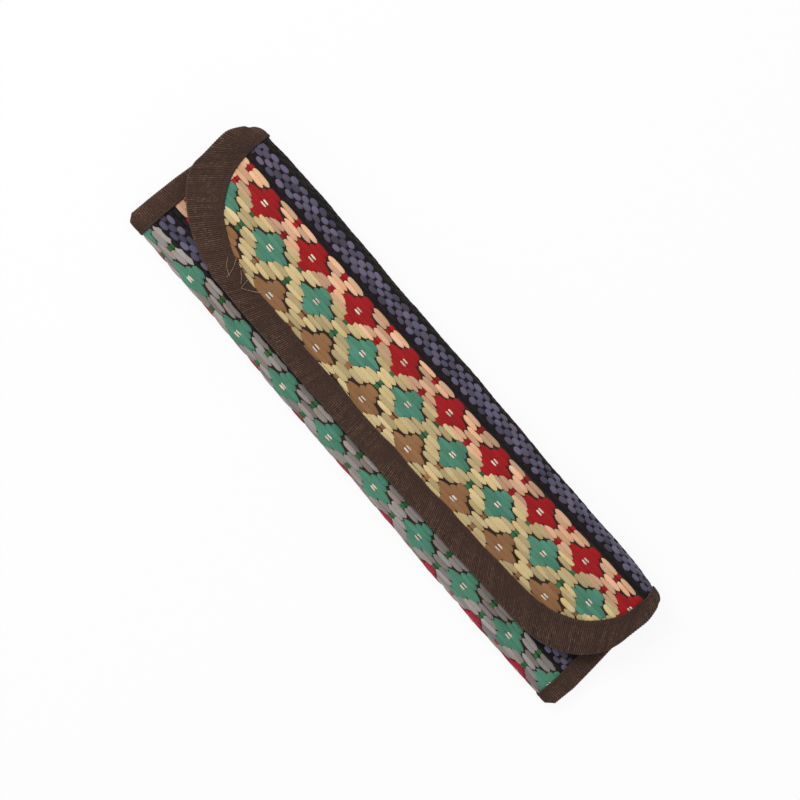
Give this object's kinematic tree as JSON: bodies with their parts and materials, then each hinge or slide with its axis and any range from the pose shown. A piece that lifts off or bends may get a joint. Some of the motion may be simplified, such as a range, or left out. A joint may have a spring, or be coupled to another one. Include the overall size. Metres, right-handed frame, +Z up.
{
  "type": "mallet case",
  "caption": "Slim padded woven case with taped edges, whose flap folds over the spine and closes on hook-and-loop strips to hold a pair of santoor mallets.",
  "frame": {"origin": "middle of the closed case, on the flat back that it lies on", "axes": "+X along the case, +Y from the bottom fold to the spine, +Z up out of the flap"},
  "size_m": [0.27, 0.0663, 0.0167],
  "materials": {
    "woven_cover": "coarse striped and flowered wool weave",
    "padding": "thin soft wadding",
    "lining": "plain dark brown cotton",
    "binding_tape": "ribbed dark brown tape",
    "loop_tape": "soft napped loop tape",
    "hook_tape": "woven tape with moulded hooks",
    "thread": "dark brown sewing thread"
  },
  "bodies": {
    "pocket": {"pocket_cover": "woven_cover", "pocket_padding": "padding", "pocket_lining": "lining", "left_end_binding": "binding_tape", "right_end_binding": "binding_tape", "mouth_binding": "binding_tape", "left_loop_strip": "loop_tape", "right_loop_strip": "loop_tape", "left_end_stitches": "thread", "right_end_stitches": "thread", "mouth_stitches": "thread", "loop_strip_stitches": "thread"},
    "spine": {"spine_cover": "woven_cover", "spine_padding": "padding", "spine_lining": "lining", "left_spine_binding": "binding_tape", "right_spine_binding": "binding_tape", "left_spine_stitches": "thread", "right_spine_stitches": "thread"},
    "flap": {"flap_cover": "woven_cover", "flap_padding": "padding", "flap_lining": "lining", "flap_binding": "binding_tape", "flap_stitches": "thread", "left_hook_strip": "hook_tape", "right_hook_strip": "hook_tape", "hook_strip_stitches": "thread"}
  },
  "joints": [
    {"name": "low_crease", "type": "hinge", "parent": "pocket", "child": "spine", "pos_m": [0, 0.03139, 0.00161], "axis": [-1, 0, 0], "range_deg": [0, 90]},
    {"name": "high_crease", "type": "hinge", "parent": "spine", "child": "flap", "pos_m": [0, 0.03139, 0.01479], "axis": [-1, 0, 0], "range_deg": [0, 90]}
  ]
}
